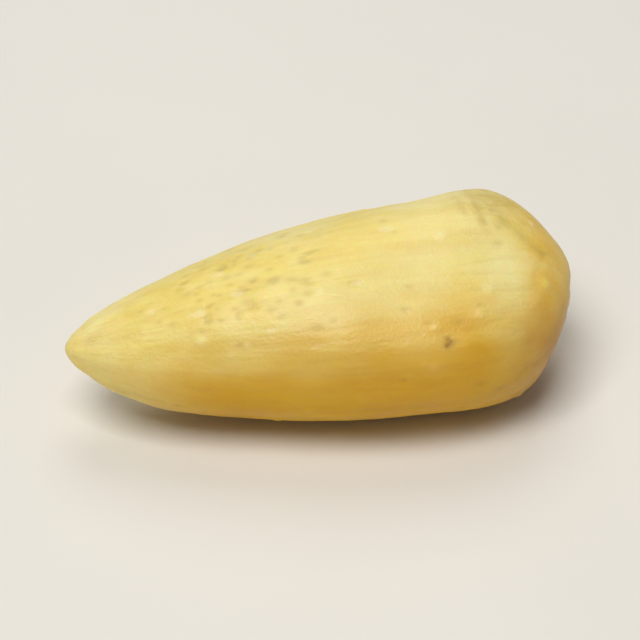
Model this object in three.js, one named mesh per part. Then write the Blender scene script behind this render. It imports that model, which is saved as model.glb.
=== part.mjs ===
// A pine nut kernel, out of its shell and lying on its side.
//
// The kernel is one solid piece, the bare cream-coloured seed. It starts as an egg that is
// drawn out to a point, where the root would come out, and the point is fuller below than
// above. A keel swells from its back to a shoulder beside the blunt end. It is pressed
// flatter on four sides, where it grew against its shell, and slantwise beside the shoulder
// and low at the blunt end. A few faint flutes run along it, shallow dents lie here and
// there, and the blunt end has a small round scar, where it was fed.
//
// Millimetres. X runs from the point to the blunt end, Y away from the viewer and Z up. The
// origin is on the surface that the kernel lies on, under the middle of its box.

import * as THREE from "three";
import { mergeVertices } from "three/addons/utils/BufferGeometryUtils.js";

// Driving dimensions of the egg, before it is pressed.
const LENGTH = 13.5;
const WIDTH = 6.15;
const HEIGHT = 5.5;

// How much slimmer the egg's pointed half is than its blunt half, from 0 to 1.
const TAPER = 0.43;

// The very point is drawn thinner by this share of its girth, and the thinning fades out
// over this share of the length.
const POINT = { thinner: 0.18, fade: 0.03 };

// The point's fuller underside is centred at this share of the length and at this angle
// round the axis, in degrees from the back (+Y) over the top (+Z). It is this long to each
// side, as a share of the length, and this wide, and rises by this share of the girth.
const CHIN = { at: 0.08, round: 236, long: 0.19, spread: 65, rise: 0.3 };

// The keel lies at this angle round the axis, and is this wide to each side. It rises by
// this share of the girth between two stations, which are shares of the length from the
// point.
const KEEL = { round: 43, spread: 37, rise: 0.365, from: 0.64, to: 0.98 };

// Flats, each facing along the axis by "along" (towards the blunt end) and round it at
// "round" degrees. "reach" is the distance from the middle of the axis to the flat, and
// "soft" is how far to each side of its plane the pressing fades out.
const FLATS = [
  { along: 0.05, round: 118, reach: 2.56, soft: 0.55 },
  { along: -0.02, round: 232, reach: 2.61, soft: 0.5 },
  { along: 0.04, round: 345, reach: 2.88, soft: 0.5 },
  { along: 1.12, round: 49, reach: 5.95, soft: 0.9 },
  { along: 2.15, round: 223, reach: 5.92, soft: 0.7 },
];

// The flat belly, which faces straight down.
const BELLY = { along: 0, round: 270, reach: 2.36, soft: 0.14 };

// The belly isn't quite even: the kernel lies on three low points round its weight. Each is
// centred at a distance along the axis and across it from the middle.
const LOW_POINTS = [
  { along: -0.8, across: 0 },
  { along: 2.4, across: 1.11 },
  { along: 2.7, across: -0.97 },
];
const LOW_POINT = { wide: 0.4, proud: 0.04 };

// Flutes: low waves round the kernel, which fade out at both ends.
const FLUTES = { count: 9, deep: 0.018, lean: 0.5 };

// Dents, each centred at a share of the length and at degrees round the axis. "wide" is the
// distance at which a dent is down to about a third of its depth.
const DENTS = [
  { at: 0.36, round: 148, wide: 1.1, deep: 0.06 },
  { at: 0.62, round: 172, wide: 1.3, deep: 0.05 },
  { at: 0.5, round: 62, wide: 1.2, deep: 0.07 },
  { at: 0.74, round: 20, wide: 1.4, deep: 0.07 },
  { at: 0.3, round: 316, wide: 1, deep: 0.06 },
  { at: 0.68, round: 215, wide: 0.9, deep: 0.04 },
];

// The scar in the blunt end is a shallow saucer with a low rim round it.
const SCAR = { wide: 0.85, deep: 0.09 };
const SCAR_RIM = { wide: 1.06, thick: 0.25, proud: 0.02 };

// Each edge of a 20-sided ball is split into this many before it is shaped.
const SPLITS = 18;

const { clamp, degToRad, euclideanModulo, radToDeg, smoothstep } = THREE.MathUtils;

// The girth of the egg where it is widest, for a half-width of 1.
const widestCosine = (1 - Math.sqrt(1 + 8 * TAPER ** 2)) / (4 * TAPER);
const widestGirth = Math.sqrt(1 - widestCosine ** 2) * (1 - TAPER * widestCosine);

// A hump of height 1 that falls away smoothly with distance.
function hump(distance, wide) {
  return Math.exp(-((distance / wide) ** 2));
}

// The direction that faces along the axis by "along" and round it at "round" degrees.
function facing(along, round) {
  const angle = degToRad(round);
  return new THREE.Vector3(along, Math.cos(angle), Math.sin(angle)).normalize();
}

// How many degrees an angle round the axis, in radians, lies from one in degrees.
function degreesFrom(angle, round) {
  return euclideanModulo(radToDeg(angle) - round + 180, 360) - 180;
}

// The direction from the middle of the egg to a share of the length and degrees round.
function towards(at, round) {
  const x = 2 * at - 1;
  return facing(0, round).multiplyScalar(Math.sqrt(1 - x * x)).setX(x);
}

// A point of the egg with its keel, chin and flutes, for a direction from its middle. The
// point of the kernel is at the -X end.
function eggPoint(direction) {
  const cosine = clamp(-direction.x, -1, 1);
  const sine = Math.sqrt(1 - cosine ** 2);
  const station = (1 - cosine) / 2;
  const angle = Math.atan2(direction.z, direction.y);

  const girth = (sine * (1 - TAPER * cosine)) / widestGirth;
  const point = 1 - POINT.thinner * Math.exp(-station / POINT.fade);
  const swell = KEEL.rise * smoothstep(station, KEEL.from, KEEL.to);
  const keel = 1 + swell * hump(degreesFrom(angle, KEEL.round), KEEL.spread);
  const fuller = CHIN.rise * hump(station - CHIN.at, CHIN.long);
  const chin = 1 + fuller * hump(degreesFrom(angle, CHIN.round), CHIN.spread);
  const wave = Math.sin(FLUTES.count * (angle + FLUTES.lean * station));
  const flutes = 1 + ((2 * FLUTES.deep) / WIDTH) * sine ** 2 * wave;
  const size = girth * point * keel * chin * flutes;

  return new THREE.Vector3(
    LENGTH * (station - 0.5),
    (WIDTH / 2) * size * Math.cos(angle),
    (HEIGHT / 2) * size * Math.sin(angle),
  );
}

// Moves a point that lies past a flat back onto it. The change is smooth: it starts "soft"
// short of the plane, and a point further than "soft" past it ends exactly on it.
function press(point, flat) {
  const normal = facing(flat.along, flat.round);
  const past = point.dot(normal) - flat.reach;
  if (past <= -flat.soft) return;
  const share = Math.min((past + flat.soft) / (2 * flat.soft), 1);
  const eased = 2 * (share - share ** 3 + share ** 4 / 2) - 1;
  const left = share === 1 ? 0 : flat.soft * eased;
  point.addScaledVector(normal, left - past);
}

// The egg pressed by its flats, without the smaller marks.
function bodyPoint(direction) {
  const point = eggPoint(direction);
  for (const flat of FLATS) press(point, flat);
  return point;
}

const scarCentre = bodyPoint(towards(1, 0));
const dents = DENTS.map(({ at, round, wide, deep }) => ({
  centre: bodyPoint(towards(at, round)),
  inwards: facing(0, round).negate(),
  wide,
  deep,
}));

// Sinks the dents and the scar into a point of the body.
function mark(point) {
  const move = new THREE.Vector3();
  for (const { centre, inwards, wide, deep } of dents) {
    move.addScaledVector(inwards, deep * hump(point.distanceTo(centre), wide));
  }
  const fromScar = point.distanceTo(scarCentre);
  move.x -= SCAR.deep * Math.exp(-((fromScar / SCAR.wide) ** 4));
  move.x += SCAR_RIM.proud * hump(fromScar - SCAR_RIM.wide, SCAR_RIM.thick);
  point.add(move);
}

// Lets the three low points down from the underside.
function addLowPoints(point) {
  if (point.z > 0) return;
  for (const { along, across } of LOW_POINTS) {
    const distance = Math.hypot(point.x - along, point.y - across);
    point.z -= LOW_POINT.proud * hump(distance, LOW_POINT.wide);
  }
}

// The finished surface in one direction from the middle of the egg.
function kernelPoint(direction) {
  const point = bodyPoint(direction);
  mark(point);
  press(point, BELLY);
  addLowPoints(point);
  return point;
}

// The solid: a closed 20-sided ball, split finely, with each corner moved to the surface.
function kernelGeometry() {
  const ball = new THREE.IcosahedronGeometry(1, SPLITS - 1);
  ball.deleteAttribute("normal");
  ball.deleteAttribute("uv");
  const geometry = mergeVertices(ball, 1e-5);
  const corners = geometry.attributes.position;
  const direction = new THREE.Vector3();
  for (let i = 0; i < corners.count; i++) {
    direction.fromBufferAttribute(corners, i).normalize();
    const { x, y, z } = kernelPoint(direction);
    corners.setXYZ(i, x, y, z);
  }
  geometry.computeVertexNormals();
  geometry.computeBoundingBox();
  return geometry;
}

const cream = new THREE.MeshStandardMaterial({
  color: new THREE.Color().setRGB(0.91, 0.81, 0.47, THREE.SRGBColorSpace),
  roughness: 0.45,
  metalness: 0,
});

const kernel = new THREE.Mesh(kernelGeometry(), cream);
kernel.name = "kernel";

// It stands on the origin's plane, with the middle of its box over the origin.
const { min, max } = kernel.geometry.boundingBox;
kernel.position.set(-(min.x + max.x) / 2, -(min.y + max.y) / 2, -min.z);

const pineNut = new THREE.Group();
pineNut.add(kernel);

export default pineNut;
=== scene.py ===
# %% [markdown]
# # A pine nut kernel, out of its shell
#
# A pine nut kernel is one bare seed, 13 mm long: a cream teardrop with a waxy, slightly
# see-through flesh, a sharp little point and a blunt end with a tan scar. The solid already
# has its true shape and size, so this lesson dresses it. It divides the surface finely,
# carves what a fingertip could just feel, paints the flesh, and sets up light and camera.
#
# The first step loads the solid as a fixed frame, and keeps its box.

# %% Load the solid
import math

import bmesh
import bpy
import numpy as np
from mathutils import Euler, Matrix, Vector, noise
from mathutils.bvhtree import BVHTree
from mathutils.kdtree import KDTree


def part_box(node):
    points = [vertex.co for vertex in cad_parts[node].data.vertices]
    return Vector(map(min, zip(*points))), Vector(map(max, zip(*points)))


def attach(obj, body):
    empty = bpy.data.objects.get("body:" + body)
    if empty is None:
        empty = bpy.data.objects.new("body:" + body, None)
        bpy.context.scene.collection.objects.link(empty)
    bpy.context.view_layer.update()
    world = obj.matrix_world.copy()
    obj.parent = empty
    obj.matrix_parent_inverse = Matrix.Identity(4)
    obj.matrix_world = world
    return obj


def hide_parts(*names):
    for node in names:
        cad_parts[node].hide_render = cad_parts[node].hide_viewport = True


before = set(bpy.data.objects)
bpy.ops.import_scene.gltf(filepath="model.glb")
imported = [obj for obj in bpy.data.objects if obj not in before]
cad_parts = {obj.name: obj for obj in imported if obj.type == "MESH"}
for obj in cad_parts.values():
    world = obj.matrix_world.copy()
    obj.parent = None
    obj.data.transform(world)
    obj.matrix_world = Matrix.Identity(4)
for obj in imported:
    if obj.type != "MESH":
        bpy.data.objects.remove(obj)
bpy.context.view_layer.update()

MM = 0.001
LOW, HIGH = (np.array(corner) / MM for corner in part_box("kernel"))
LENGTH = HIGH[0] - LOW[0]

# %% [markdown]
# ## The body
#
# The solid is made of flat triangles about 0.3 mm across, and the camera comes so close that
# they would show. The egg could be modelled again with a finer mesh, but then two shapes
# would have to agree. It is simpler to copy the solid's own surface, weld the corners that
# its triangles share, and let a subdivision surface round it. The flat belly stays flat,
# because a subdivision surface keeps whatever is level.

# %% Copy the surface and divide it
WELD = 0.001 * MM
DIVISIONS = 2


def welded(source, name):
    """A new mesh with the faces of another one, whose doubled corners are made one."""
    mesh = bpy.data.meshes.new(name)
    faces = [face.vertices[:] for face in source.polygons]
    mesh.from_pydata([corner.co for corner in source.vertices], [], faces)
    form = bmesh.new()
    form.from_mesh(mesh)
    bmesh.ops.remove_doubles(form, verts=form.verts, dist=WELD)
    form.to_mesh(mesh)
    form.free()
    return mesh


def divide(piece, times):
    """Rounds a piece by a subdivision surface and keeps the result as its mesh."""
    rounding = piece.modifiers.new("rounding", "SUBSURF")
    rounding.levels = times
    graph = bpy.context.evaluated_depsgraph_get()
    piece.data = bpy.data.meshes.new_from_object(piece.evaluated_get(graph))
    piece.modifiers.clear()


bare = welded(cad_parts["kernel"].data, "kernel_flesh")
kernel = bpy.data.objects.new("pine_nut_kernel", bare)
bpy.context.collection.objects.link(kernel)
divide(kernel, DIVISIONS)
print("the kernel has", len(kernel.data.polygons), "faces")

# %% [markdown]
# ## A ruler on the surface
#
# The marks on a kernel follow its growth, so they are easier to place by two readings than
# by X, Y and Z: the station, from 0 at the point to 1 at the blunt end, and the angle round
# the axis, from 0 at the back over the top at 90 to the front at 180. A third reading is the
# grain: the surface unrolled and stretched, in which a round blob becomes a streak that runs
# along the kernel and narrows with it towards both ends.

# %% Read the station, angle and grain at every corner
AXIS = (0.07, 2.4)
GRAIN_STRETCH = 12.0
GIRTH_RADIUS = 3.0


def readings(values, kind, width):
    """One reading of every corner or face of a mesh, as rows of numbers."""
    found = np.empty(len(values) * width)
    values.foreach_get(kind, found)
    return found.reshape(-1, width)


place = readings(kernel.data.vertices, "co", 3) / MM
outward = readings(kernel.data.vertex_normals, "vector", 3)
station = (place[:, 0] - LOW[0]) / LENGTH
turn = np.arctan2(place[:, 2] - AXIS[1], place[:, 1] - AXIS[0])
angle = np.degrees(turn) % 360
grain = np.column_stack(
    [place[:, 0] / GRAIN_STRETCH, GIRTH_RADIUS * np.cos(turn), GIRTH_RADIUS * np.sin(turn)]
)
print("corners:", len(place), "width:", round(np.ptp(place[:, 1]), 2), "mm")

# %% [markdown]
# ## Tools for carving
#
# The fine shape could be sculpted by hand with brushes, but a script can't repeat a hand.
# Instead each feature is a formula that says how far a corner stands out or sinks, and
# three small tools make the formulas: a smooth ramp, a smooth hump, and noise for whatever
# grew unevenly. All features add up in one relief, in mm. A second sum, of how hollow each
# corner is, drives painted shade in the hollows, and a value named dark says how much one
# kind of mark adds to it. The masks are for the paint too, and say where each kind of mark
# lies.

# %% Make the tools
TILT = (0.5, 0.7, 0.3)
SEED_STEP = (17.3, 5.1, 29.7)    # how far apart the patterns of two seeds are read


def ease(values, start, end):
    """0 at start and 1 at end, with a smooth ramp between, level before and after."""
    share = np.clip((values - start) / (end - start), 0, 1)
    return share * share * (3 - 2 * share)


def hump(distance, width):
    """1 where distance is 0, falling away smoothly."""
    return np.exp(-((distance / width) ** 2))


def waves(where, size, seed, octaves=1):
    """Smooth noise from about -1 to 1, with blobs of the given size in mm.

    Each seed gives another pattern. The noise has a hidden lattice, so it is tilted to keep
    that out of line with the kernel.
    """
    shift = Vector(SEED_STEP) * seed
    tilted = where @ np.array(Euler(TILT).to_matrix()) / size
    return np.array([noise.fractal(Vector(p) + shift, 1.0, 2.0, octaves) for p in tilted])


relief = np.zeros(len(place))
# how hollow each corner is, painted later as olive shade in the hollows
hollow_shade = np.zeros(len(place))
masks = {}
print("a hump at half its width is", hump(0.5, 1).round(2), "high")

# %% [markdown]
# ## Uneven flesh
#
# Under a raking light a kernel is never quite even: it has broad soft lumps, and finer ones
# where the flesh dried. Displacing by noise does this well, as long as each size of lump
# gets its own height. A bump map would do for the finest, but these show in the outline.

# %% Broad and fine lumps
LUMPS = [
    # size and height in mm, and how many times finer lumps are added
    (2.6, 0.036, 2),
    (0.9, 0.014, 2),
    (0.35, 0.005, 2),
]

for seed, (size, height, octaves) in enumerate(LUMPS, start=1):
    relief += height * waves(place, size, seed, octaves)
print("lumps reach", relief.min().round(3), "to", relief.max().round(3), "mm")

# %% [markdown]
# ## Fibres
#
# The flesh has a faint lengthwise fibre. Noise read along the grain gives the streaks, and
# keeping only the thin bands where it changes sign turns them into fine grooves. They come
# and go in patches, as on the real kernel, where most of the surface was rubbed smooth.

# %% Grooves along the kernel
FIBRE = {"size": 0.42, "deep": 0.011, "band": 0.16, "patch": 2.2, "least": 0.25}
FIBRE_PATCHES = {"edge": (-0.15, 0.45), "dark": 0.25}

stripes = np.abs(waves(grain, FIBRE["size"], 11, 3))
groove = 1 - ease(stripes, 0, FIBRE["band"])
patches = ease(waves(place, FIBRE["patch"], 12, 2), *FIBRE_PATCHES["edge"])
fibres = groove * (FIBRE["least"] + (1 - FIBRE["least"]) * patches)
relief -= FIBRE["deep"] * fibres
hollow_shade += FIBRE_PATCHES["dark"] * fibres
print("share of the surface in a groove:", (groove > 0.5).mean().round(2))

# %% [markdown]
# ## Pits
#
# Small pits crowd the upper side near the point, and a few lie elsewhere, each with olive
# painted shade in its hollow. A noise texture could only make them evenly, so they are
# carved one at a time: a random face is drawn, by area so that the spread is even, kept or
# dropped by how crowded its place is, and the corners round it are pushed in, over a round
# or a longer patch. The draw is seeded, so the kernel comes out the same each time.

# %% Scatter the pits
PITS = {"tries": 3000, "small": 0.08, "large": 0.15, "long": 2.2, "steep": 0.3, "dark": 0.75}
PIT_DEPTH = {"least": 0.4, "most": 1.2, "alone": 0.45}
CROWDED = {"station": 0.32, "angle": 97, "long": 0.13, "wide": 36, "elsewhere": 0.02}
FADED = 2.2    # how many widths from its middle a pit has faded out

rng = np.random.default_rng(5)
near = KDTree(len(place))
for number, spot in enumerate(place):
    near.insert(spot, number)
near.balance()

areas = readings(kernel.data.polygons, "area", 1)[:, 0]
middles = readings(kernel.data.polygons, "center", 3) / MM


def crowding(spot):
    """How likely a pit is kept at a spot: 1 in the crowded patch, less elsewhere."""
    along = (spot[0] - LOW[0]) / LENGTH - CROWDED["station"]
    round_it = math.degrees(math.atan2(spot[2] - AXIS[1], spot[1] - AXIS[0]))
    across = (round_it - CROWDED["angle"] + 180) % 360 - 180
    middle = hump(math.hypot(along / CROWDED["long"], across / CROWDED["wide"]), 1)
    return CROWDED["elsewhere"] + (1 - CROWDED["elsewhere"]) * middle


def press_in(spot, width, depth, long):
    """Pushes the corners round a spot in by up to depth, and adds to their painted shade."""
    found = [number for _, number, _ in near.find_range(spot, FADED * width * long)]
    away = (place[found] - spot) / (long, 1, 1)
    share = hump(np.linalg.norm(away, axis=1), width)
    relief[found] -= depth * share
    hollow_shade[found] += PITS["dark"] * share ** 2


pits = 0
for face in rng.choice(len(areas), PITS["tries"], p=areas / areas.sum()):
    width = PITS["small"] + (PITS["large"] - PITS["small"]) * rng.random() ** 2
    wanted = crowding(middles[face])
    if rng.random() < wanted:
        depth = PITS["steep"] * width * rng.uniform(PIT_DEPTH["least"], PIT_DEPTH["most"])
        depth *= PIT_DEPTH["alone"] + (1 - PIT_DEPTH["alone"]) * wanted
        press_in(middles[face], width, depth, rng.uniform(1, PITS["long"]))
        pits += 1
print("pits:", pits)

# %% [markdown]
# ## Creases
#
# Where the thin skin inside the shell was folded, it printed short creases into the flesh.
# Most lie near the blunt end, and three of those pucker the crest of the shoulder. A crease
# is drawn on the ruler from one station and angle to another, with a bow and a slight
# wander, and dropped onto the surface by casting rays out from the axis. The corners near
# the line sink, and those just beside it rise into two low lips. Its depth comes and goes,
# so that it looks grown and not drawn, and the deeper it is, the darker its painted shade.

# %% Draw the creases
CREASES = [
    # from station, angle - to station, angle - bow in degrees, depth and width in mm
    (0.825, 60, 0.955, 104, 5, 0.045, 0.17),
    (0.783, 52, 0.798, 80, 2, 0.026, 0.10),
    (0.812, 43, 0.833, 92, 3, 0.036, 0.11),
    (0.848, 46, 0.870, 74, -2, 0.032, 0.09),
    (0.90, 128, 0.965, 96, -7, 0.014, 0.08),
    (0.73, 150, 0.88, 139, 4, 0.012, 0.09),
    (0.80, 196, 0.93, 178, -5, 0.018, 0.09),
    (0.62, 222, 0.80, 214, 3, 0.018, 0.08),
    (0.10, 118, 0.46, 101, 6, 0.014, 0.09),
    (0.42, 166, 0.58, 159, -3, 0.009, 0.07),
    (0.16, 170, 0.27, 184, 3, 0.009, 0.06),
    (0.55, 60, 0.76, 44, -4, 0.022, 0.10),
    (0.30, 20, 0.52, 8, 5, 0.018, 0.09),
    (0.70, 345, 0.90, 330, -6, 0.026, 0.10),
    (0.82, 12, 0.93, -5, 5, 0.022, 0.08),
    (0.38, 318, 0.62, 330, 6, 0.016, 0.09),
]
CREASE = {"steps": 60, "wander": 3.0, "lip": 0.28, "lip_out": 2.1, "dark": 22}
CREASE_DEPTH = {"mean": 0.75, "swing": 0.6, "least": 0.1, "most": 1.2, "taper": 0.6, "end": 0.02}
CREASE_REACH = {"widths": 4, "stations": 0.03}

skin = BVHTree.FromPolygons(
    [Vector(spot) for spot in place], [face.vertices[:] for face in kernel.data.polygons]
)


def on_surface(at, degrees):
    """The place on the surface at a station and an angle."""
    start = Vector((LOW[0] + at * LENGTH, *AXIS))
    out = Vector((0, math.cos(math.radians(degrees)), math.sin(math.radians(degrees))))
    return skin.ray_cast(start, out)[0]


def crease(start, start_angle, end, end_angle, bow, depth, width):
    """Sinks a bowed, wandering line into the surface, with a low lip along each side."""
    shares = np.linspace(0, 1, CREASE["steps"])
    # each crease reads the noise along a path of its own, so no two wander alike
    trail = np.array([(5 * share, 40 * start, start_angle) for share in shares])
    stations = start + (end - start) * shares
    angles = start_angle + (end_angle - start_angle) * shares + bow * np.sin(math.pi * shares)
    angles += CREASE["wander"] * waves(trail, 1.0, 13, 3)
    inner = shares.clip(CREASE_DEPTH["end"], 1 - CREASE_DEPTH["end"])
    strength = np.sin(math.pi * inner) ** CREASE_DEPTH["taper"]
    varied = CREASE_DEPTH["mean"] + CREASE_DEPTH["swing"] * waves(trail, 0.8, 14, 2)
    strength *= varied.clip(CREASE_DEPTH["least"], CREASE_DEPTH["most"])
    line = KDTree(len(shares))
    for number, (at, degrees) in enumerate(zip(stations, angles)):
        line.insert(on_surface(at, degrees), number)
    line.balance()
    reach = abs(end - start) + CREASE_REACH["stations"]
    for corner in np.flatnonzero(np.abs(station - (start + end) / 2) < reach):
        _, number, distance = line.find(place[corner])
        if distance < CREASE_REACH["widths"] * width:
            dip = hump(distance, width)
            lip = CREASE["lip"] * hump(distance - CREASE["lip_out"] * width, width)
            relief[corner] += strength[number] * depth * (lip - dip)
            hollow_shade[corner] += CREASE["dark"] * strength[number] * depth * dip


for line in CREASES:
    crease(*line)
print("creases:", len(CREASES), "deepest relief", relief.min().round(3), "mm")

# %% [markdown]
# ## The point
#
# At the very point the flesh is gathered into a nib, the place where the root would break
# out. Small folds run from it, fanned round the axis, and a faint ring sets it off. Both
# depend only on the ruler, so one line of arithmetic makes each.

# %% Gather the point
NIB = {"ends": 0.035, "ring": 0.012, "ring_depth": 0.022, "painted": (0.014, 0.049)}
NIB_FOLDS = {"count": 7, "depth": 0.016, "sway": 1.5, "dark": 0.35}
NIB_FOLDS |= {"start": (0.008, 0.02), "end": (0.05, 0.17)}

folds = np.cos(NIB_FOLDS["count"] * turn + NIB_FOLDS["sway"] * waves(place, 0.8, 21))
folded = ease(station, *NIB_FOLDS["start"]) * (1 - ease(station, *NIB_FOLDS["end"]))
relief += NIB_FOLDS["depth"] * folds * folded
relief -= NIB["ring_depth"] * hump(station - NIB["ends"], NIB["ring"])
hollow_shade += NIB_FOLDS["dark"] * np.clip(-folds, 0, 1) * folded
masks["nib"] = 1 - ease(station, *NIB["painted"])
print("the nib covers", (masks["nib"] > 0.5).sum(), "corners")

# %% [markdown]
# ## The scar
#
# The blunt end carries the round scar through which the seed was fed. Its saucer is part of
# the solid. What is added here is its skin: a dry disc with a small plug in its middle,
# faint rings round that, and folds that fan out over a crumpled rim and die away in the
# flesh. All of it depends on the distance from the middle and on the turn round it, made
# uneven by noise so that no fold is like the next.

# %% Wrinkle the scar
SCAR = {"radius": 0.72, "soft": 0.12, "rim": 0.15, "rim_height": 0.04}
SCAR_EDGE = [
    # size of the noise and how far it moves the edge, in mm, then seed and octaves
    (0.9, 0.07, 31, 1),
    (0.2, 0.06, 34, 2),
]
SCAR_CRUMPLE = {"size": 0.35, "height": 0.02}
SCAR_PLUG = {"wide": 0.2, "height": 0.05, "painted": 0.26}
SCAR_FOLDS = {"apart": 0.3, "outwards": 0.5, "swing": 1.6, "depth": 0.05, "dark": 0.3}
SCAR_FOLDS |= {"start": (0.1, 0.4), "end": (SCAR["radius"], 1.7), "outside": 0.35}
SCAR_RINGS = {"apart": 0.21, "depth": 0.006}

scar_middle = np.array(skin.ray_cast(Vector((0, *AXIS)), Vector((1, 0, 0)))[0])
from_scar = np.linalg.norm(place - scar_middle, axis=1)
rough_edge = from_scar.copy()
for size, move, seed, octaves in SCAR_EDGE:
    rough_edge += move * waves(place, size, seed, octaves)
scar = ease(rough_edge, SCAR["radius"] + SCAR["soft"], SCAR["radius"] - SCAR["soft"])

fanned = np.column_stack([SCAR_FOLDS["outwards"] * from_scar, np.cos(turn), np.sin(turn)])
spokes = SCAR_FOLDS["swing"] * waves(fanned, SCAR_FOLDS["apart"], 32, 2)
spokes *= ease(from_scar, *SCAR_FOLDS["start"]) * (1 - ease(from_scar, *SCAR_FOLDS["end"]))
folded = SCAR_FOLDS["outside"] + (1 - SCAR_FOLDS["outside"]) * scar
relief += SCAR_FOLDS["depth"] * spokes * folded
hollow_shade += SCAR_FOLDS["dark"] * np.clip(-spokes, 0, 1)

rings = np.cos(2 * math.pi * rough_edge / SCAR_RINGS["apart"]) * scar
relief += SCAR_RINGS["depth"] * rings
relief += SCAR["rim_height"] * hump(rough_edge - SCAR["radius"], SCAR["rim"])
relief += SCAR_CRUMPLE["height"] * waves(place, SCAR_CRUMPLE["size"], 33, 2) * scar
relief += SCAR_PLUG["height"] * hump(from_scar, SCAR_PLUG["wide"])
masks["scar"] = scar
masks["plug"] = hump(from_scar, SCAR_PLUG["painted"])
print("the scar's middle:", scar_middle.round(2), "and its corners:", (scar > 0.5).sum())

# %% [markdown]
# ## Marks of its own
#
# Five marks make this kernel itself and no other: a dark speck low on its front, a yellow
# grain beside the blunt end, an olive patch on the shoulder's crest, a paler, drier face
# beside that, and a brown edge below the face, which is painted shade. Painting them on an
# image would tie them to one view. Here each is a smooth mask about one place on the ruler,
# and the speck and the grain are carved as well.

# %% Place the marks
SPECK = {"at": 0.719, "round": 156, "wide": 0.12, "deep": 0.02, "ragged": 0.1, "grain": 0.2}
YELLOW_GRAIN = {"at": 0.927, "round": 128, "wide": 0.17, "high": 0.06}
OLIVE_CREST = {"at": 0.856, "round": 62, "wide": 1.0, "uneven": 0.3}
END_FACE = {"from": 0.74, "to": 0.83, "round": 124, "turn": 42}
SHADED_EDGE = {"at": 0.97, "long": 0.085, "round": 208, "turn": 50}
UNEVEN = {"size": 1.1, "stations": 0.03, "degrees": 10}


def from_angle(middle):
    """How many degrees each corner lies from an angle round the axis."""
    return np.abs((angle - middle + 180) % 360 - 180)


def from_spot(at, degrees):
    """How far each corner lies from a place on the ruler, in mm."""
    return np.linalg.norm(place - np.array(on_surface(at, degrees)), axis=1)


ragged = SPECK["ragged"] * waves(place, SPECK["grain"], 51, 2)
masks["speck"] = hump(from_spot(SPECK["at"], SPECK["round"]) + ragged, SPECK["wide"])
relief -= SPECK["deep"] * masks["speck"]
from_grain = from_spot(YELLOW_GRAIN["at"], YELLOW_GRAIN["round"])
masks["yellow grain"] = hump(from_grain, YELLOW_GRAIN["wide"])
relief += YELLOW_GRAIN["high"] * masks["yellow grain"]

uneven = waves(place, UNEVEN["size"], 52, 3)
uneven_station = station + UNEVEN["stations"] * uneven
crest = from_spot(OLIVE_CREST["at"], OLIVE_CREST["round"]) + OLIVE_CREST["uneven"] * uneven
masks["olive crest"] = hump(crest, OLIVE_CREST["wide"])
masks["end face"] = ease(uneven_station, END_FACE["from"], END_FACE["to"])
masks["end face"] *= hump(from_angle(END_FACE["round"]), END_FACE["turn"])
# painted shade: the lower edge of the blunt end is darkened to brown
uneven_angle = from_angle(SHADED_EDGE["round"]) + UNEVEN["degrees"] * uneven
masks["edge shade"] = hump(uneven_station - SHADED_EDGE["at"], SHADED_EDGE["long"])
masks["edge shade"] *= hump(uneven_angle, SHADED_EDGE["turn"])
print("the speck lies at", np.array(on_surface(SPECK["at"], SPECK["round"])).round(2))

# %% [markdown]
# ## Rubbed spots and shreds of skin
#
# Where the waxy surface was scraped, the flesh shows a little paler. Round the scar and
# under the point, shreds of the thin brown skin still cling, as they often do. Both are
# patches with a ragged outline: the distance from a spot, measured longer along the kernel
# and upset by fine noise. The mask is kept soft here, and the paint cuts it to an edge.

# %% Place the rubbed spots and the shreds
RUBBED = [
    # station, angle, radius in mm
    (0.255, 122, 0.11), (0.30, 88, 0.09), (0.39, 141, 0.08), (0.56, 118, 0.07),
    (0.63, 84, 0.1), (0.17, 108, 0.07), (0.47, 152, 0.07), (0.33, 112, 0.08),
    (0.35, 40, 0.12), (0.6, 30, 0.1), (0.5, 330, 0.12), (0.7, 10, 0.1), (0.25, 230, 0.1),
]
SHREDS = [(0.955, 338, 0.2), (0.972, 305, 0.16), (0.985, 20, 0.12), (0.05, 335, 0.12)]
RUB = {"long": 2.2, "ragged": 0.55, "grain": 0.22, "deep": 0.012}
RUB |= {"carved": (0.35, 0.65), "painted": (0.3, 0.7)}
SHRED = {"long": 1.9, "ragged": 0.9, "grain": 0.2, "thick": 0.03}
SHRED |= {"carved": (0.42, 0.58), "painted": (0.44, 0.56)}


def patches_at(spots, kind, seed):
    """A soft mask that is above a half inside ragged patches at the given spots."""
    torn = kind["ragged"] * waves(place, kind["grain"], seed, 3)
    mask = np.zeros(len(place))
    for at, degrees, radius in spots:
        away = (place - np.array(on_surface(at, degrees))) / (kind["long"], 1, 1)
        far = np.linalg.norm(away, axis=1) / radius
        far += torn * ease(far, 0, 0.5)
        mask = np.maximum(mask, np.clip(1 - far / 2, 0, 1))
    return mask


masks["rubbed"] = patches_at(RUBBED, RUB, 61)
relief -= RUB["deep"] * ease(masks["rubbed"], *RUB["carved"])
masks["shreds"] = patches_at(SHREDS, SHRED, 62)
relief += SHRED["thick"] * ease(masks["shreds"], *SHRED["carved"])
for name in ("rubbed", "shreds"):
    print(name + ":", (masks[name] > 0.5).sum(), "corners")

# %% [markdown]
# ## Crumbs
#
# A few tiny raised grains catch the light: dry crumbs of flesh that stuck to the kernel.
# They are low and round, so pushing the surface out is enough.

# %% Raise the crumbs
CRUMBS = {"count": 30, "small": 0.07, "large": 0.14, "steep": 0.26, "reach": 2}

raised = np.zeros(len(place))
for face in rng.choice(len(areas), CRUMBS["count"], p=areas / areas.sum()):
    width = rng.uniform(CRUMBS["small"], CRUMBS["large"])
    for _, number, distance in near.find_range(middles[face], CRUMBS["reach"] * width):
        raised[number] = max(raised[number], CRUMBS["steep"] * width * hump(distance, width))
relief += raised
masks["crumb"] = raised / raised.max()
print("crumbs stand up to", raised.max().round(3), "mm")
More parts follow.
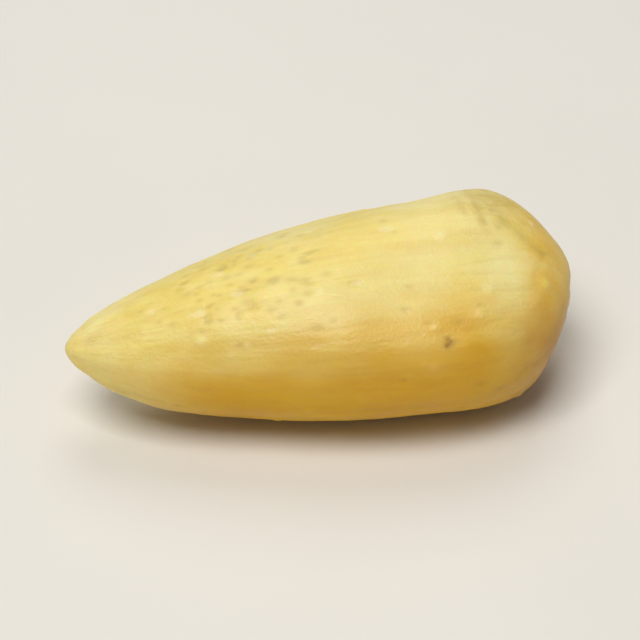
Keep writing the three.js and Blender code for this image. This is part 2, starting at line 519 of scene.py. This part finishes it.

# %% [markdown]
# ## Golden underside, painted shade
#
# The flesh is pale on top and golden along the lower flank and below. This gold is painted
# shade: it darkens and warms the lower flank, where less light falls. The border runs
# lengthwise and is soft and streaked, so the angle round the axis drives one smooth ramp,
# upset by noise in blotches and along the grain. The gold reaches higher towards the blunt
# end, and thins out near both ends. A second mask warms the rim of the blunt end.

# %% Place the gold and the warm rim
GOLDEN_SHADE = {"middle": 262, "full": 80, "none": 136, "wider": 26, "pivot": 0.35}
BORDER = {"blotch": 2.4, "blotched": 8, "streak": 0.7, "streaked": 9}
GOLD_ENDS = {"point": (0.02, 0.3), "blunt": (0.8, 0.97), "thinned": 0.35}
PALE_PATCH = 0.7
RIM = {"edge": (0.85, 0.95), "uneven": 0.02}

# painted shade: gold that darkens and warms the lower flank, where less light falls
edge = from_angle(GOLDEN_SHADE["middle"]) - GOLDEN_SHADE["wider"] * (station - GOLDEN_SHADE["pivot"])
edge += BORDER["blotched"] * waves(place, BORDER["blotch"], 41, 3)
edge += BORDER["streaked"] * waves(grain, BORDER["streak"], 42, 2)
golden_shade = 1 - ease(edge, GOLDEN_SHADE["full"], GOLDEN_SHADE["none"])
golden_shade *= ease(station, *GOLD_ENDS["point"])
golden_shade *= 1 - GOLD_ENDS["thinned"] * ease(station, *GOLD_ENDS["blunt"])
golden_shade *= 1 - PALE_PATCH * masks["end face"]
masks["golden_shade"] = golden_shade
masks["rim"] = ease(station + RIM["uneven"] * uneven, *RIM["edge"])
print("share of the surface that is golden:", (golden_shade > 0.5).mean().round(2))

# %% [markdown]
# ## Carving it in
#
# All the relief is one height for each corner, so it is applied once, along the surface's
# own normals. It fades out towards the belly: the kernel must still lie on the same three
# low points, and nothing may go through the table. The masks are kept on the mesh, one
# number for each corner, where the material can read them.

# %% Move the corners and keep the masks
BELLY = {"flat_below": 0.12, "carved_above": 0.9}

carved = ease(place[:, 2], BELLY["flat_below"], BELLY["carved_above"])
moved = place + outward * (relief * carved)[:, None]
moved[:, 2] = np.maximum(moved[:, 2], place[:, 2].clip(max=BELLY["flat_below"]))
kernel.data.vertices.foreach_set("co", (moved * MM).ravel())
kernel.data.update()
kernel.data.shade_smooth()

masks["hollow_shade"] = hollow_shade * carved
for name, values in masks.items():
    kept = kernel.data.attributes.new(name, "FLOAT", "POINT")
    kept.data.foreach_set("value", np.clip(values, 0, 1).astype(np.float32))
print("box in mm:", moved.min(0).round(2), moved.max(0).round(2), "masks:", len(masks))

# %% [markdown]
# ## Building materials from nodes
#
# A material is a small program, drawn as a web of nodes. Written out link by link it would
# be long, so a few helpers keep it readable. One adds a node and sets or links its inputs,
# and three more give the steps that come up most: mixing two colours, mapping a value onto
# a range, and arithmetic.

# %% Helpers for nodes
FLOAT = "NodeSocketFloat"


def linear(red, green, blue):
    """A colour as a screen shows it, from 0 to 255, turned into the numbers of light."""
    parts = [part / 255 for part in (red, green, blue)]
    return [p / 12.92 if p < 0.04045 else ((p + 0.055) / 1.055) ** 2.4 for p in parts] + [1]


def fill(tree, node, inputs):
    """Sets a node's inputs, given by name or number, to values, or links them to sockets."""
    for name, value in inputs.items():
        if isinstance(value, bpy.types.NodeSocket):
            tree.links.new(value, node.inputs[name])
        else:
            node.inputs[name].default_value = value


def add(tree, kind, inputs=None, **settings):
    """Adds a node with its settings and its inputs."""
    node = tree.nodes.new(kind)
    for name, value in settings.items():
        setattr(node, name, value)
    fill(tree, node, inputs or {})
    return node


def mixed(tree, share, first, second, blend="MIX"):
    """Mixes two colours by a share and returns the mix."""
    sockets = {0: share, 6: first, 7: second}
    return add(tree, "ShaderNodeMix", sockets, data_type="RGBA", blend_type=blend).outputs[2]


def ramp(tree, value, start, end, low=0.0, high=1.0):
    """Maps a value smoothly from the range start to end onto low to high."""
    inputs = {"Value": value, "From Min": start, "From Max": end, "To Min": low, "To Max": high}
    node = add(tree, "ShaderNodeMapRange", inputs, interpolation_type="SMOOTHSTEP")
    return node.outputs["Result"]


def combine(tree, operation, first, second):
    """Adds, multiplies or otherwise combines two values."""
    return add(tree, "ShaderNodeMath", {0: first, 1: second}, operation=operation).outputs[0]


print("a screen's mid grey is", [round(part, 3) for part in linear(128, 128, 128)])

# %% [markdown]
# ## Effects
#
# Two effects come back in several places, so each is a node group, a node made of nodes
# with inputs of its own. Soft mottling is cloudy noise, and its stretch draws the clouds out
# along the kernel. Sparse specks are small dots, the nearest points of a cell pattern, in
# only a share of the cells. Both read the object's own coordinates, so they stay put when
# the kernel or the camera moves.

# %% Mottling and specks
WOBBLE = {"per_mm": 5, "by": 0.15 * MM}


def new_group(name, inputs):
    """Starts a node group that has inputs with starting values, and puts out a mask."""
    tree = bpy.data.node_groups.new(name, "ShaderNodeTree")
    for label, value in inputs.items():
        tree.interface.new_socket(label, in_out="INPUT", socket_type=FLOAT).default_value = value
    tree.interface.new_socket("Mask", in_out="OUTPUT", socket_type=FLOAT)
    return tree, tree.nodes.new("NodeGroupInput").outputs, tree.nodes.new("NodeGroupOutput")


def use_group(tree, group, **values):
    """Places a group in a tree with its own values, and returns its mask."""
    return add(tree, "ShaderNodeGroup", values, node_tree=group).outputs["Mask"]


def mottling_group():
    """Soft clouds as a mask, at a size in mm. More contrast narrows the soft borders."""
    tree, given, out = new_group("Soft mottling", {"Size": 1.0, "Contrast": 0.5, "Stretch": 1.0})
    where = add(tree, "ShaderNodeTexCoord").outputs["Object"]
    parts = add(tree, "ShaderNodeSeparateXYZ", {0: where}).outputs
    along = combine(tree, "DIVIDE", parts["X"], given["Stretch"])
    drawn_out = {"X": along, "Y": parts["Y"], "Z": parts["Z"]}
    squeezed = add(tree, "ShaderNodeCombineXYZ", drawn_out).outputs[0]
    tilt = {"Vector": squeezed, "Rotation": TILT}
    tilted = add(tree, "ShaderNodeMapping", tilt).outputs[0]
    scale = combine(tree, "DIVIDE", 1 / MM, given["Size"])
    noise_inputs = {"Vector": tilted, "Scale": scale, "Detail": 4.0, "Roughness": 0.55}
    clouds = add(tree, "ShaderNodeTexNoise", noise_inputs).outputs["Fac"]
    low = combine(tree, "MULTIPLY", given["Contrast"], 0.5)
    high = combine(tree, "SUBTRACT", 1.0, low)
    tree.links.new(ramp(tree, clouds, low, high), out.inputs["Mask"])
    return tree


def speck_group():
    """Small uneven dots as a mask: one in a share of the cells of a pattern."""
    tree, given, out = new_group("Sparse specks", {"Spacing": 1.0, "Size": 0.1, "Share": 0.2})
    where = add(tree, "ShaderNodeTexCoord").outputs["Object"]
    ripple = {"Vector": where, "Scale": WOBBLE["per_mm"] / MM, "Detail": 2.0}
    wobble = add(tree, "ShaderNodeTexNoise", ripple).outputs["Color"]
    shift = {0: wobble, 1: (WOBBLE["by"],) * 3, 2: where}
    uneven = add(tree, "ShaderNodeVectorMath", shift, operation="MULTIPLY_ADD").outputs[0]
    scale = combine(tree, "DIVIDE", 1 / MM, given["Spacing"])
    cells = add(tree, "ShaderNodeTexVoronoi", {"Vector": uneven, "Scale": scale}).outputs
    radius = combine(tree, "DIVIDE", given["Size"], given["Spacing"])
    core = combine(tree, "MULTIPLY", radius, 0.5)
    dot = ramp(tree, cells["Distance"], core, radius, 1.0, 0.0)
    lot = add(tree, "ShaderNodeSeparateColor", {0: cells["Color"]}).outputs[0]
    kept = combine(tree, "LESS_THAN", lot, given["Share"])
    tree.links.new(combine(tree, "MULTIPLY", dot, kept), out.inputs["Mask"])
    return tree


mottling, specks = mottling_group(), speck_group()
print("groups:", mottling.name, "and", specks.name)

# %% [markdown]
# ## The colours of the flesh
#
# Flesh is never one colour. It runs from cream to lemon, with streaks of gold, and tan on its
# scar. Gold on the lower flank, olive in the hollows and brown at the lower blunt end are
# painted shade. The colours could be picked from a picture point by point, but a few named
# paints, mixed by masks, keep the whole in tune. All but the shade glaze are written as a
# screen shows them, and turned into the numbers of light.

# %% Choose the colours
CREAM = linear(242, 228, 154)
LEMON = linear(236, 215, 114)
GOLD = linear(209, 147, 12)
OLIVE = linear(188, 164, 74)
AMBER = linear(236, 190, 60)
PALE_END = linear(234, 226, 164)
CHALK = linear(244, 234, 186)
TAN = linear(190, 136, 66)
# brown painted shade for the lower edge of the blunt end
EDGE_SHADE = linear(160, 100, 36)
DARK_TAN = linear(140, 90, 42)
SKIN = linear(184, 126, 76)
DARK_SKIN = linear(142, 86, 48)
# a glaze of painted shade, multiplied over the lower flank
SHADE_GLAZE = (0.85, 0.58, 0.05, 1)
print("cream in numbers of light:", [round(part, 2) for part in CREAM[:3]])

# %% [markdown]
# ## Layers of paint
#
# A painter would lay these colours on in thin layers, and so do the nodes. First comes the
# cream, clouded with lemon and streaked with gold, paler at the blunt end, olive on the
# shoulder's crest, and olive painted shade in the hollows. Over that come the small marks,
# then the gold below, painted shade as a multiplied glaze that lets them show through, a
# few more marks with brown painted shade at the lower blunt end, and last the scar, the
# shreds and the nib. Each layer is laid on by a mask from the carving, so that paint and
# relief agree. An image could hold all this, but it would blur close up.

# %% Lay the colours on
CLOUDS = {
    # size in mm, contrast, and how far they are drawn out along the kernel
    "cream": (3.2, 0.55, 1.0),
    "streaks": (0.35, 0.5, 9.0),
    "fine": (0.5, 0.4, 1.0),
    "scuffs": (1.1, 0.7, 3.0),
    "crust": (0.28, 0.7, 1.0),
    "skin": (0.2, 0.6, 3.0),
    "thin skin": (0.25, 0.6, 2.0),
}
SHARES = {
    # the least and the most of a colour where it comes in clouds
    "cream": (0.05, 0.85),
    "streaks": (0, 0.14),
    "fine cream": (0, 0.22),
    "thin skin": (0.3, 0.8),
}
COVER = {
    # how far a layer hides what lies below it, under its mask
    "end face": 0.6,
    "rim": 0.8,
    "olive crest": 0.6,
    # olive painted shade in the hollows
    "hollow_shade": 0.42,
    "scuffs": 0.14,
    "crumb": 0.5,
    "dots": 0.4,
    "rubbed": 0.35,
    "yellow grain": 0.8,
    "edge shade": 0.85,
    "speck": 0.65,
    "scar": 0.35,
    "crust": 0.5,
    "plug": 0.5,
    "nib": 0.15,
}
DOTS = {"Spacing": 2.45, "Size": 0.08, "Share": 0.12}


def mask(tree, name):
    """One of the masks that were kept on the mesh."""
    return add(tree, "ShaderNodeAttribute", attribute_name=name).outputs["Fac"]


def clouds(tree, size, contrast, stretch=1.0):
    """Soft mottling at a size in mm."""
    return use_group(tree, mottling, Size=size, Contrast=contrast, Stretch=stretch)


def tint(tree, colour, cover, share, other):
    """Lays another colour over a colour where a mask covers it, up to a share."""
    return mixed(tree, combine(tree, "MULTIPLY", cover, share), colour, other)


def layer(tree, colour, name, other):
    """Lays another colour over a colour under the kept mask of that name."""
    return tint(tree, colour, mask(tree, name), COVER[name], other)


def plain_flesh(tree, fine):
    """Cream clouded with lemon, paler and warmer at the blunt end, painted shade in hollows."""
    cream = ramp(tree, clouds(tree, *CLOUDS["cream"]), 0, 1, *SHARES["cream"])
    streaks = ramp(tree, clouds(tree, *CLOUDS["streaks"]), 0, 1, *SHARES["streaks"])
    colour = mixed(tree, cream, LEMON, CREAM)
    colour = layer(tree, colour, "end face", PALE_END)
    colour = layer(tree, colour, "rim", AMBER)
    colour = layer(tree, colour, "olive crest", OLIVE)
    colour = mixed(tree, streaks, colour, GOLD)
    colour = mixed(tree, ramp(tree, fine, 0.2, 1, *SHARES["fine cream"]), colour, CREAM)
    # olive painted shade in the hollows
    return layer(tree, colour, "hollow_shade", OLIVE)


def marked_flesh(tree, colour, scuffs):
    """The small marks, the golden painted shade over them, and the larger marks."""
    rubbed = ramp(tree, mask(tree, "rubbed"), *RUB["painted"])
    colour = tint(tree, colour, scuffs, COVER["scuffs"], CHALK)
    colour = layer(tree, colour, "crumb", CHALK)
    colour = tint(tree, colour, use_group(tree, specks, **DOTS), COVER["dots"], TAN)
    colour = tint(tree, colour, rubbed, COVER["rubbed"], CHALK)
    # the gold glaze below is painted shade
    colour = mixed(tree, mask(tree, "golden_shade"), colour, SHADE_GLAZE, "MULTIPLY")
    colour = layer(tree, colour, "yellow grain", LEMON)
    # brown painted shade at the lower edge of the blunt end
    colour = layer(tree, colour, "edge shade", EDGE_SHADE)
    return layer(tree, colour, "speck", DARK_TAN)


def scarred_flesh(tree, colour, crusted, shreds):
    """The crust of the scar and its plug, the thin brown shreds, and the nib."""
    crust = mixed(tree, clouds(tree, *CLOUDS["crust"]), DARK_TAN, TAN)
    brown = mixed(tree, clouds(tree, *CLOUDS["skin"]), DARK_SKIN, SKIN)
    thickness = ramp(tree, clouds(tree, *CLOUDS["thin skin"]), 0, 1, *SHARES["thin skin"])
    colour = layer(tree, colour, "scar", AMBER)
    colour = tint(tree, colour, crusted, COVER["crust"], crust)
    colour = layer(tree, colour, "plug", brown)
    colour = tint(tree, colour, shreds, thickness, brown)
    return layer(tree, colour, "nib", AMBER)


print("layers of paint under masks:", len(COVER))

# %% [markdown]
# ## The flesh
#
# Light goes a short way into the oily flesh and comes back out warmer, so the material
# scatters below its surface: red light further than green, and green further than blue. The
# gloss is soft and waxy, duller on scuffs and dullest on the scar and the shreds. Pores and
# hair-fine fibres are too small for the mesh, so a bump adds them. What is the same all
# over is set on the shader itself.

# %% Mix the material
WAXY = {
    "Subsurface Weight": 0.7,
    "Subsurface Radius": (1.0, 0.55, 0.18),
    "Subsurface Scale": 0.55 * MM,
    "Specular IOR Level": 0.45,
    "IOR": 1.46,
    "Coat Weight": 0.1,
    "Coat Roughness": 0.25,
}
GLOSS = {"waxy": (0.36, 0.5), "scuffed": 0.2, "bare": 0.22}
SCUFFED = (0.62, 0.95)
CRUSTED = {"uneven": (-0.4, 0.3), "edge": (0.2, 1.1)}
PORES = {"round": 0.1, "long": 0.11, "stretch": 8.0, "fibres": 0.6, "deep": 0.016 * MM}


def gloss(tree, fine, scuffs, bare):
    """Roughness: waxy flesh, duller where it is scuffed, and dull where it is bare."""
    waxy = ramp(tree, fine, 0, 1, *GLOSS["waxy"])
    duller = combine(tree, "MULTIPLY", scuffs, GLOSS["scuffed"])
    dullest = combine(tree, "MULTIPLY", bare, GLOSS["bare"])
    return combine(tree, "ADD", combine(tree, "ADD", waxy, duller), dullest)


def pores(tree):
    """The bumped normal of fine pores and fibres."""
    long_ones = clouds(tree, PORES["long"], 0.0, PORES["stretch"])
    fibres = combine(tree, "MULTIPLY", long_ones, PORES["fibres"])
    height = combine(tree, "ADD", clouds(tree, PORES["round"], 0.0), fibres)
    bump = {"Height": height, "Distance": PORES["deep"]}
    return add(tree, "ShaderNodeBump", bump).outputs["Normal"]


def flesh_material():
    """Waxy, slightly see-through flesh."""
    material = bpy.data.materials.new("waxy cream flesh")
    material.use_nodes = True
    tree = material.node_tree
    fine = clouds(tree, *CLOUDS["fine"])
    scuffs = ramp(tree, clouds(tree, *CLOUDS["scuffs"]), *SCUFFED)
    uneven = ramp(tree, fine, 0, 1, *CRUSTED["uneven"])
    crusted = ramp(tree, combine(tree, "ADD", mask(tree, "scar"), uneven), *CRUSTED["edge"])
    shreds = ramp(tree, mask(tree, "shreds"), *SHRED["painted"])

    colour = marked_flesh(tree, plain_flesh(tree, fine), scuffs)
    surface = {
        "Base Color": scarred_flesh(tree, colour, crusted, shreds),
        "Roughness": gloss(tree, fine, scuffs, combine(tree, "MAXIMUM", crusted, shreds)),
        "Normal": pores(tree),
    }
    fill(tree, tree.nodes["Principled BSDF"], surface | WAXY)
    return material


kernel.data.materials.append(flesh_material())
print("material:", kernel.data.materials[0].name)

# %% [markdown]
# ## The table
#
# The kernel lies on a plain pale surface, matt and very slightly mottled, so that nothing
# competes with it. It is a flat sheet at the height of the lowest points.

# %% Lay the table
TABLE_WIDTH = 1000 * MM
TABLE_LIGHT = linear(231, 228, 222)
TABLE_DARK = linear(226, 223, 217)
TABLE_ROUGHNESS = 0.8
TABLE_CLOUDS = {"size": 14.0, "contrast": 0.2}


def table_material():
    """Matt, pale and nearly even."""
    material = bpy.data.materials.new("matt pale table")
    material.use_nodes = True
    tree = material.node_tree
    cloudy = mixed(tree, clouds(tree, **TABLE_CLOUDS), TABLE_DARK, TABLE_LIGHT)
    surface = {"Base Color": cloudy, "Roughness": TABLE_ROUGHNESS}
    fill(tree, tree.nodes["Principled BSDF"], surface)
    return material


half = TABLE_WIDTH / 2
sheet = bpy.data.meshes.new("table")
corners = [(-half, -half, 0), (half, -half, 0), (half, half, 0), (-half, half, 0)]
sheet.from_pydata(corners, [], [(0, 1, 2, 3)])
sheet.materials.append(table_material())
table = bpy.data.objects.new("table", sheet)
bpy.context.collection.objects.link(table)
print("the table is", TABLE_WIDTH / MM, "mm wide")

# %% [markdown]
# ## Light
#
# A wide soft panel hangs above the kernel, a little to the left and to the front. It lights
# the upper faces and the middle of the front, and lets the lower flank fall into warm shade.
# A weaker one behind draws a pale edge along the top. A pale room fills in the rest.

# %% Hang the lights
LAMP_COLOUR = (1.0, 0.985, 0.95)
ROOM_STRENGTH = 0.16
AIM = Vector((0, 0, 3)) * MM
PANELS = [
    # name, place and width in mm, power in watts
    ("front panel", (-45, -60, 190), 110, 0.325),
    ("back panel", (20, 100, 150), 110, 0.085),
]


def hang_panel(name, place_mm, width_mm, watts):
    """Hangs a square light that faces the kernel."""
    lamp = bpy.data.lights.new(name, "AREA")
    lamp.size = width_mm * MM
    lamp.energy = watts
    lamp.color = LAMP_COLOUR
    light = bpy.data.objects.new(name, lamp)
    light.location = Vector(place_mm) * MM
    light.rotation_euler = (AIM - light.location).to_track_quat("-Z", "Y").to_euler()
    bpy.context.collection.objects.link(light)


for panel in PANELS:
    hang_panel(*panel)

room = bpy.data.worlds.new("pale room")
bpy.context.scene.world = room
room.use_nodes = True
glow = {"Color": (*LAMP_COLOUR, 1), "Strength": ROOM_STRENGTH}
fill(room.node_tree, room.node_tree.nodes["Background"], glow)
bpy.context.scene.view_settings.view_transform = "Standard"

# %% [markdown]
# ## Camera
#
# The kernel is seen from 40 degrees above the table and from slightly to the left, so that
# its axis climbs a little to the right. A long lens keeps both ends at nearly the same
# scale, and the distance is worked out so that the kernel fills most of the frame.

# %% Place the camera
CAMERA_AZIMUTH, CAMERA_ELEVATION = math.radians(-9), math.radians(40)
LENS, SENSOR = 200, 36
FILL = 0.8

eye = bpy.data.cameras.new("camera")
eye.lens = LENS
eye.sensor_width = SENSOR
eye.clip_start = 1 * MM
eye.clip_end = 5000 * MM
camera = bpy.data.objects.new("camera", eye)
level = math.cos(CAMERA_ELEVATION)
back = Vector(
    (
        math.sin(CAMERA_AZIMUTH) * level,
        -math.cos(CAMERA_AZIMUTH) * level,
        math.sin(CAMERA_ELEVATION),
    )
)
middle = Vector(LOW + HIGH) / 2 * MM
camera.location = middle + back * (LENGTH * MM / FILL * LENS / SENSOR)
camera.rotation_euler = (-back).to_track_quat("-Z", "Y").to_euler()
bpy.context.collection.objects.link(camera)
bpy.context.scene.camera = camera
print("the camera is", round((camera.location - middle).length / MM), "mm away")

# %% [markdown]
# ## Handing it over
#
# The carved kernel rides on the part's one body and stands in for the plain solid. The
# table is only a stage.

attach(kernel, "root")
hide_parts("kernel")
